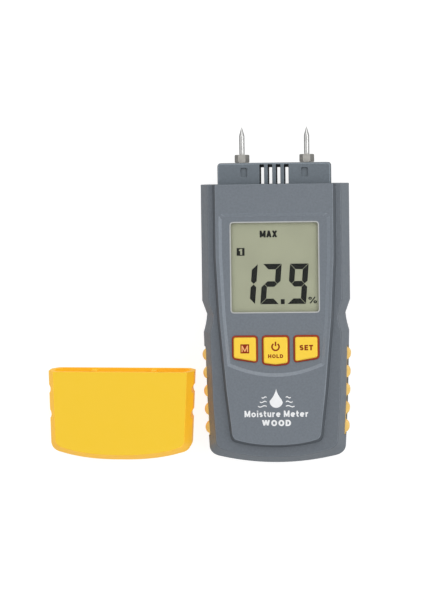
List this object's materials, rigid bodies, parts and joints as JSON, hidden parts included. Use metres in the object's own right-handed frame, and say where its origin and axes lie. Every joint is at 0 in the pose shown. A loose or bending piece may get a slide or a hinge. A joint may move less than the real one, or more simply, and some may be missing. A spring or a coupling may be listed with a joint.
{
  "type": "pin moisture meter",
  "caption": "Handheld pin-type moisture meter with display, keys, sliding battery door and two steel probe pins, lying beside its loose pin cap.",
  "frame": {"origin": "on the flat back face of the housing, on its centre line, midway between its two ends", "axes": "+X to the display's right, +Y along the housing towards the probe pins, +Z out of the display side; the meter lies on its back"},
  "size_m": [0.1303, 0.1444, 0.0266],
  "materials": {
    "housing_plastic": "fine spark-eroded texture",
    "head_plastic": "satin",
    "cap_plastic": "satin",
    "grip_rubber": "matte",
    "key_rubber": "satin",
    "keypad_rubber": "matte",
    "lens_plastic": "clear",
    "lcd": "smooth",
    "frame_plastic": "matte",
    "circuit_board": "solder mask",
    "nickel": "plated",
    "needle_steel": "ground",
    "screw_steel": "zinc plated",
    "brass": "turned",
    "cell_jacket": "printed film",
    "red_wire": "satin",
    "black_wire": "satin"
  },
  "bodies": {
    "meter": {"front_shell": "housing_plastic", "back_shell": "housing_plastic", "grip_strip_left": "grip_rubber", "grip_strip_right": "grip_rubber", "probe_head": "head_plastic", "pin_socket_left": "brass", "pin_socket_right": "brass", "pin_nut_left": "nickel", "pin_nut_right": "nickel", "needle_left": "needle_steel", "needle_right": "needle_steel", "probe_lead_left": "black_wire", "probe_lead_right": "red_wire", "display_lens": "lens_plastic", "lcd_glass": "lcd", "lcd_frame": "frame_plastic", "contact_strip": "keypad_rubber", "main_board": "circuit_board", "processor_chip": "frame_plastic", "crystal_can": "nickel", "board_screw_1": "screw_steel", "board_screw_2": "screw_steel", "board_screw_3": "screw_steel", "board_screw_4": "screw_steel", "case_screw_1": "screw_steel", "case_screw_2": "screw_steel", "case_screw_3": "screw_steel", "case_screw_4": "screw_steel", "keypad_mat": "keypad_rubber", "battery_cell_1": "cell_jacket", "battery_cell_2": "cell_jacket", "battery_cell_3": "cell_jacket", "battery_contact_1": "nickel", "battery_contact_2": "nickel", "battery_contact_3": "nickel", "battery_spring_1": "screw_steel", "battery_spring_2": "screw_steel", "battery_spring_3": "screw_steel"},
    "mode_key": {"mode_button": "key_rubber"},
    "power_key": {"power_button": "key_rubber"},
    "set_key": {"set_button": "key_rubber"},
    "door": {"battery_door": "housing_plastic"},
    "cap": {"pin_cap": "cap_plastic"}
  },
  "joints": [
    {"name": "mode_press", "type": "slide", "parent": "meter", "child": "mode_key", "axis": [0, 0, -1], "range_m": [0, 0.0008], "stiffness_N_per_m": 1500},
    {"name": "power_press", "type": "slide", "parent": "meter", "child": "power_key", "axis": [0, 0, -1], "range_m": [0, 0.0008], "stiffness_N_per_m": 1500},
    {"name": "set_press", "type": "slide", "parent": "meter", "child": "set_key", "axis": [0, 0, -1], "range_m": [0, 0.0008], "stiffness_N_per_m": 1500},
    {"name": "door_slide", "type": "slide", "parent": "meter", "child": "door", "axis": [0, -1, 0], "range_m": [0, 0.06]},
    {"name": "cap_slide", "type": "slide", "parent": "meter", "child": "cap", "axis": [0, 1, 0], "range_m": [0, 0.12]}
  ]
}
